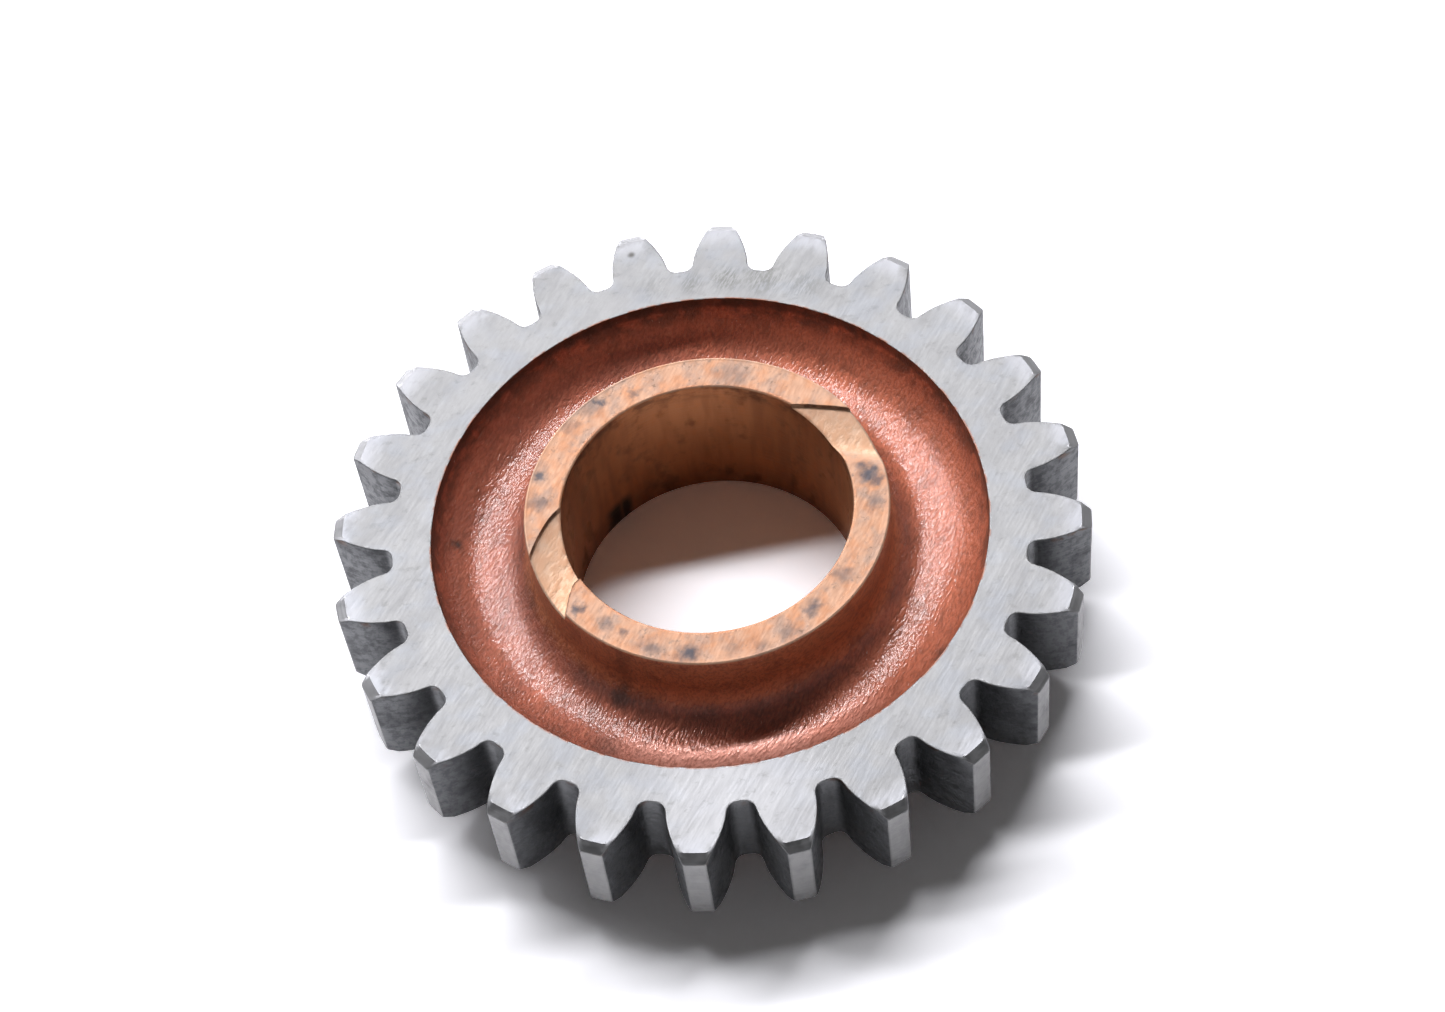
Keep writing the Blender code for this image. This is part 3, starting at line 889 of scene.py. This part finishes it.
def copper_bore():
    """Bored wall with a copper flash gone brown: streaked, and darker towards its foot with painted
    shade.
    """
    material, tree, shader, place = metal("browned_copper_flash")
    height = coordinate(tree, place, "Z")
    rings = grain(tree, place, (5, 5, 0.25), detail=2)
    streaks = patches(tree, place, (1.2, 1.2, 7), 0.35, 0.7, detail=3, seed=1)
    blots = patches(tree, place, (2.4, 2.4, 3.2), 0.5, 0.7, detail=4, seed=2)
    warm = patches(tree, place, (1.6, 1.6, 2.2), 0.52, 0.68, detail=4, roughness=0.65, seed=3)
    top = product(
        tree,
        between(tree, height, (HUB_TOP - 2.6) * MM, (HUB_TOP - 0.6) * MM),
        patches(tree, place, (2.6, 2.6, 1.4), 0.4, 0.6, detail=4, roughness=0.6, seed=4),
    )
    # Painted shade: the near wall, which the camera doesn't see, is darkened, so that it throws
    # less light onto the floor in the bore.
    near_side_shade = between(tree, coordinate(tree, place, "Y"), -5 * MM, -13 * MM)
    # Painted shade: darker towards the foot of the bore.
    foot = between(tree, height, 5 * MM, 0)
    stain = product(
        tree,
        stains(tree, place, ((-8.7, 12.4, 1.2, 1), (-7.4, 13.2, 0.8, 1)), 0.5),
        between(tree, height, 4.5 * MM, 2.5 * MM),
    )
    colour = painted(
        tree,
        "be7e52",
        (
            ("8a5434", streaks, 0.4),
            ("66422e", blots, 0.5),
            ("c07848", warm, 0.45),
            ("3a2a20", top, 0.6),
            ("553424", foot, 0.5),
            ("33302e", near_side_shade, 0.8),
            ("0e0c0b", stain, 0.95),
        ),
    )
    tree.links.new(colour, shader.inputs["Base Color"])
    shader.inputs["Metallic"].default_value = 0.8
    tree.links.new(between(tree, blots, 0, 1, 0.38, 0.55), shader.inputs["Roughness"])
    relief(tree, shader, rings, 0.03)
    return material


# In the order of FINISHES
materials = [
    ground_steel(),
    hobbed_steel(),
    turned_steel("turned_land", "8b8a89", 0.5),
    # Painted shade: the chamfer's turned steel is given a darker ground colour than the land's.
    turned_steel("turned_chamfer", "747476", 0.42),
    copper_web(),
    copper_hub_face(),
    copper_bore(),
]

gear = gear_ring(tooth_sector(), materials)
cut_notches(gear.data)
gear.data.shade_smooth()
gear.data.set_sharp_from_angle(angle=SHARP_TURN)
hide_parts("pinion_gear")
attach(gear, "root")


# Floor: a white table that fades into the white behind it

FLOOR_REACH = 4  # metres
FLOOR_FADE = (130, 320)  # distances from the bore's axis
TABLE_WHITE = (0.92, 0.92, 0.93, 1)
TABLE_WHITE_SEEN = (1.42, 1.42, 1.45, 1)  # by the background's rays, so that it is white
WHITE = (1, 1, 1, 1)


def background_rays(tree):
    """1 for the rays that look for the background: the camera's, and those off the object."""
    rays = add_node(tree, "ShaderNodeLightPath").outputs
    total = rays["Is Camera Ray"]
    for name in ("Is Glossy Ray", "Is Transmission Ray"):
        either = {0: total, 1: rays[name]}
        total = add_node(tree, "ShaderNodeMath", either, operation="MAXIMUM").outputs[0]
    return total


near, far = -FLOOR_REACH, FLOOR_REACH
floor_corners = [(near, near, 0), (far, near, 0), (far, far, 0), (near, far, 0)]
floor_mesh = bpy.data.meshes.new("floor")
floor_mesh.from_pydata(floor_corners, [], [(0, 1, 2, 3)])
floor = bpy.data.objects.new("floor", floor_mesh)
bpy.context.scene.collection.objects.link(floor)
paper = bpy.data.materials.new("white_table")
paper.use_nodes = True
tree = paper.node_tree
tree.nodes.clear()
whites = {0: background_rays(tree), 6: TABLE_WHITE, 7: TABLE_WHITE_SEEN}
white = add_node(tree, "ShaderNodeMix", whites, data_type="RGBA")
matte = add_node(tree, "ShaderNodeBsdfDiffuse", {"Color": white.outputs[2]})
bright = add_node(tree, "ShaderNodeEmission", {"Color": WHITE, "Strength": 1.0})
away = radius_of(tree, add_node(tree, "ShaderNodeTexCoord").outputs["Object"])
faded = product(tree, between(tree, away, *FLOOR_FADE), background_rays(tree))
table = add_node(tree, "ShaderNodeMixShader", {0: faded, 1: matte.outputs[0], 2: bright.outputs[0]})
add_node(tree, "ShaderNodeOutputMaterial", {"Surface": table.outputs[0]})
floor.data.materials.append(paper)


# World: white to the camera. The metal reflects a white backdrop all round that dims overhead.
# All other light from it is that of a dim room. Heights are sines of the elevation.

BACKDROP_HEIGHTS = (0.2, 0.75)
BACKDROP_STRENGTHS = (1.0, 0.11)
ROOM_HEIGHTS = (0.1, 0.8)
ROOM_STRENGTHS = (0.16, 0.05)
ROOM_WHITE = (1.0, 0.96, 0.94, 1)

world = bpy.data.worlds.new("studio")
bpy.context.scene.world = world
world.use_nodes = True
tree = world.node_tree
tree.nodes.clear()
camera_ray = add_node(tree, "ShaderNodeLightPath").outputs["Is Camera Ray"]
upwards = coordinate(tree, add_node(tree, "ShaderNodeTexCoord").outputs["Generated"], "Z")
backdrop = between(tree, upwards, *BACKDROP_HEIGHTS, *BACKDROP_STRENGTHS)
strength = add_node(tree, "ShaderNodeMath", {0: camera_ray, 1: backdrop}, operation="MAXIMUM")
seen = add_node(tree, "ShaderNodeBackground", {"Color": WHITE, "Strength": strength.outputs[0]})
dim = between(tree, upwards, *ROOM_HEIGHTS, *ROOM_STRENGTHS)
room = add_node(tree, "ShaderNodeBackground", {"Color": ROOM_WHITE, "Strength": dim})
sides = {0: background_rays(tree), 1: room.outputs[0], 2: seen.outputs[0]}
both = add_node(tree, "ShaderNodeMixShader", sides)
add_node(tree, "ShaderNodeOutputWorld", {"Surface": both.outputs[0]})


# Lamps, with angles in degrees and sizes in metres

LAMP_WHITE = (0.985, 0.985, 1.02)
LAMPS_AIM = Vector((0, 0, 0.01))


def strip_softbox(name, azimuth, elevation, distance, width, height, radiance, shift=0.0):
    """A level rectangular lamp that faces the gear. radiance is what a camera would see of it."""
    lamp = bpy.data.lights.new(name, "AREA")
    lamp.shape = "RECTANGLE"
    lamp.size = width
    lamp.size_y = height
    lamp.energy = radiance * math.pi * width * height
    lamp.color = LAMP_WHITE
    placed = bpy.data.objects.new(name, lamp)
    around, up = math.radians(azimuth), math.radians(elevation)
    side = Vector((-math.sin(around), math.cos(around), 0))
    level = Vector((math.cos(around), math.sin(around), 0))
    way = level * math.cos(up) + Vector((0, 0, math.sin(up)))
    placed.location = LAMPS_AIM + way * distance + side * shift
    placed.rotation_euler = way.to_track_quat("Z", "Y").to_euler()
    bpy.context.scene.collection.objects.link(placed)


strip_softbox("key_strip", 87, 59.5, distance=1.2, width=1.45, height=0.1, radiance=38, shift=0.17)
strip_softbox("rear_strip", 94, 13, distance=1.6, width=1.6, height=0.34, radiance=12)
strip_softbox("side_softbox", 134, 30, distance=1.5, width=0.9, height=0.4, radiance=3.2)


# Camera, at the photograph's place

SENSOR_WIDTH = 36
FOCAL_LENGTH = 77.72
CAMERA_PLACE = Vector((-17.447, -178.932, 283.764)) * MM
CAMERA_AIM = Vector((1.817, 1.444, 15.1)) * MM
CAMERA_ROLL = math.radians(-8.349)

camera_data = bpy.data.cameras.new("camera")
camera_data.sensor_width = SENSOR_WIDTH
camera_data.lens = FOCAL_LENGTH
camera = bpy.data.objects.new("camera", camera_data)
bpy.context.scene.collection.objects.link(camera)
facing = (CAMERA_AIM - CAMERA_PLACE).to_track_quat("-Z", "Y").to_matrix().to_4x4()
roll = Matrix.Rotation(CAMERA_ROLL, 4, "Z")
camera.matrix_world = Matrix.Translation(CAMERA_PLACE) @ facing @ roll
bpy.context.scene.camera = camera
bpy.context.scene.view_settings.view_transform = "Standard"
